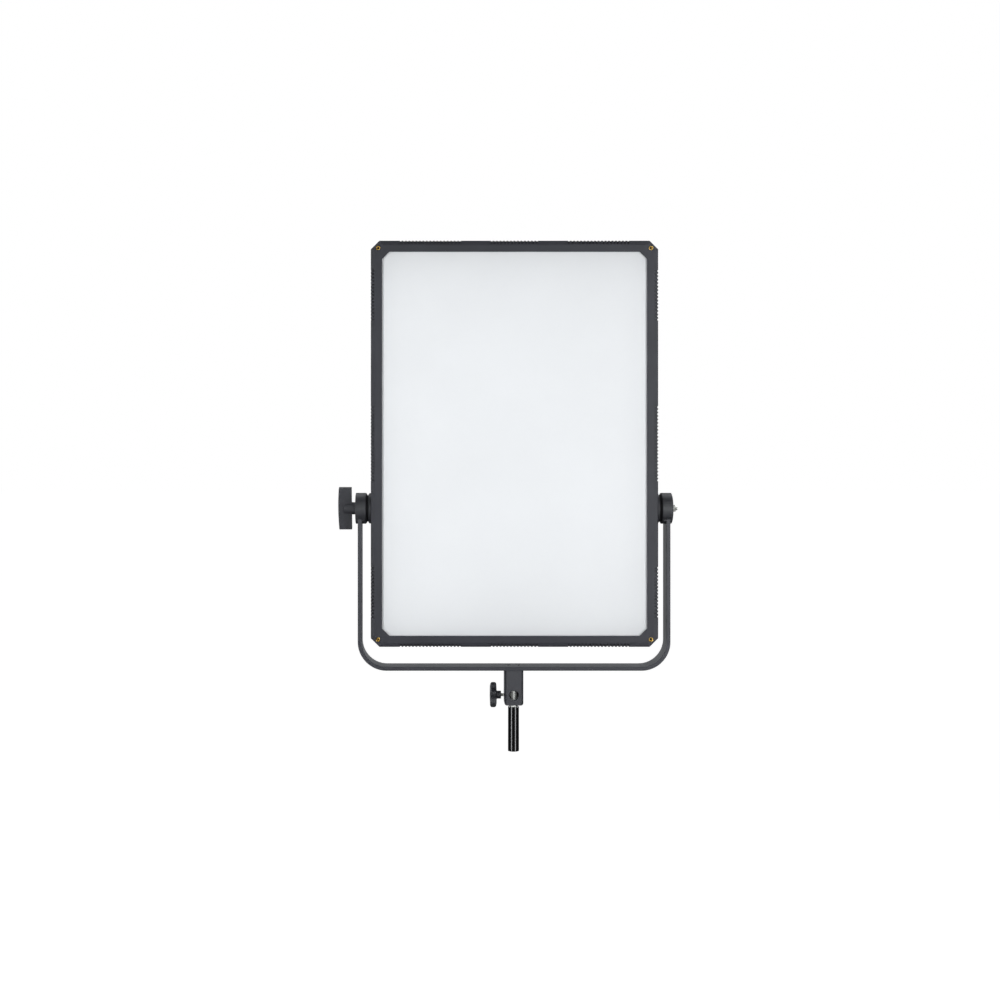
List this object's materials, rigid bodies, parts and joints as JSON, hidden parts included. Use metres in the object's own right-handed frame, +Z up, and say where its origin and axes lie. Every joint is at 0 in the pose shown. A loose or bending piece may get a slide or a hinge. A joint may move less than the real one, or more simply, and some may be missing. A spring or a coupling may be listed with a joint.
{
  "type": "led panel light",
  "caption": "Soft rectangular LED studio panel in a tilting U-shaped yoke with a lever-locked pivot, on a swivelling stand receiver and short spigot pole.",
  "frame": {"origin": "centre of the spigot pole's foot", "axes": "+Z up along the pole, -Y the side that the light leaves from, +X to the right seen from that side; the tilt axis lies in the plane y = 0"},
  "size_m": [0.5189, 0.096, 0.777],
  "materials": {
    "coated_alloy": "fine matt dark grey powder coat",
    "coated_bar": "satin dark grey powder coat",
    "black_plastic": "moulded, finely textured",
    "soft_black_plastic": "moulded, matt",
    "rubber": "matt",
    "black_oxide_steel": "black oxide",
    "gloss_black_tube": "gloss black stoved enamel",
    "display_glass": "gloss smoked window",
    "milk_acrylic": "opal, satin face",
    "clear_acrylic": "clear, polished edges",
    "white_film": "diffuse white",
    "nylon": "natural, plain",
    "bare_aluminium": "mill finish",
    "bright_steel": "bright turned, zinc plated",
    "brass": "turned",
    "circuit_board": "green solder mask"
  },
  "bodies": {
    "pole": {"pole_plug": "rubber", "spigot_pole": "gloss_black_tube", "spigot_stud": "bright_steel"},
    "yoke": {"yoke_bar": "coated_bar", "stand_receiver": "coated_bar", "receiver_screw_left": "black_oxide_steel", "receiver_screw_right": "black_oxide_steel", "hub_left": "black_plastic", "hub_right": "black_plastic", "pivot_bush_left": "nylon", "pivot_bush_right": "nylon"},
    "clamp": {"clamp_knob": "black_plastic", "clamp_screw": "bright_steel"},
    "head": {"front_frame": "coated_alloy", "insert_top_left": "brass", "insert_top_right": "brass", "insert_bottom_left": "brass", "insert_bottom_right": "brass", "diffuser": "milk_acrylic", "light_guide": "clear_acrylic", "reflector_sheet": "white_film", "heat_spreader": "bare_aluminium", "led_rail_right": "bare_aluminium", "led_rail_left": "bare_aluminium", "led_rail_top": "bare_aluminium", "led_rail_bottom": "bare_aluminium", "led_strip_right": "white_film", "led_strip_left": "white_film", "led_strip_top": "white_film", "led_strip_bottom": "white_film", "rear_housing": "coated_alloy", "base_disc_left": "black_plastic", "base_disc_right": "black_plastic", "friction_washer_left": "rubber", "friction_washer_right": "rubber", "pivot_bracket_left": "bare_aluminium", "pivot_bracket_right": "bare_aluminium", "tilt_stud": "bright_steel", "pivot_stud": "bright_steel", "pivot_nut": "bright_steel", "pivot_washer": "bright_steel", "control_box": "black_plastic", "display_window": "display_glass", "mains_inlet": "soft_black_plastic", "data_in": "bright_steel", "data_out": "bright_steel", "usb_port": "bright_steel", "switch_frame": "soft_black_plastic", "power_supply": "bare_aluminium", "driver_board": "circuit_board", "control_board": "circuit_board"},
    "tilt_lock": {"tilt_knob": "black_plastic", "knob_insert": "brass"},
    "dim_encoder": {"dim_knob": "soft_black_plastic"},
    "colour_encoder": {"colour_knob": "soft_black_plastic"},
    "menu_key": {"menu_button": "soft_black_plastic"},
    "mode_key": {"mode_button": "soft_black_plastic"},
    "back_key": {"back_button": "soft_black_plastic"},
    "power_switch": {"power_rocker": "soft_black_plastic"}
  },
  "joints": [
    {"name": "pan", "type": "hinge", "parent": "pole", "child": "yoke", "pos_m": [0, 0, 0.098], "axis": [0, 0, 1], "continuous": true},
    {"name": "tilt", "type": "hinge", "parent": "yoke", "child": "head", "pos_m": [0, 0, 0.371], "axis": [1, 0, 0], "range_deg": [-165, 165]},
    {"name": "tilt_lock_turn", "type": "hinge", "parent": "head", "child": "tilt_lock", "pos_m": [-0.258, 0, 0.371], "axis": [-1, 0, 0], "range_deg": [0, 270]},
    {"name": "clamp_turn", "type": "hinge", "parent": "yoke", "child": "clamp", "pos_m": [-0.031, 0, 0.0857], "axis": [-1, 0, 0], "range_deg": [0, 270]},
    {"name": "dim_turn", "type": "hinge", "parent": "head", "child": "dim_encoder", "pos_m": [-0.07, 0.057, 0.393], "axis": [0, 1, 0], "continuous": true},
    {"name": "colour_turn", "type": "hinge", "parent": "head", "child": "colour_encoder", "pos_m": [0.07, 0.057, 0.393], "axis": [0, 1, 0], "continuous": true},
    {"name": "menu_press", "type": "slide", "parent": "head", "child": "menu_key", "axis": [0, -1, 0], "range_m": [0, 0.001], "stiffness_N_per_m": 1500, "springref_m": -0.0008},
    {"name": "mode_press", "type": "slide", "parent": "head", "child": "mode_key", "axis": [0, -1, 0], "range_m": [0, 0.001], "stiffness_N_per_m": 1500, "springref_m": -0.0008},
    {"name": "back_press", "type": "slide", "parent": "head", "child": "back_key", "axis": [0, -1, 0], "range_m": [0, 0.001], "stiffness_N_per_m": 1500, "springref_m": -0.0008},
    {"name": "power_rock", "type": "hinge", "parent": "head", "child": "power_switch", "pos_m": [0.036, 0.047, 0.317], "axis": [1, 0, 0], "range_deg": [-22, 0]}
  ]
}
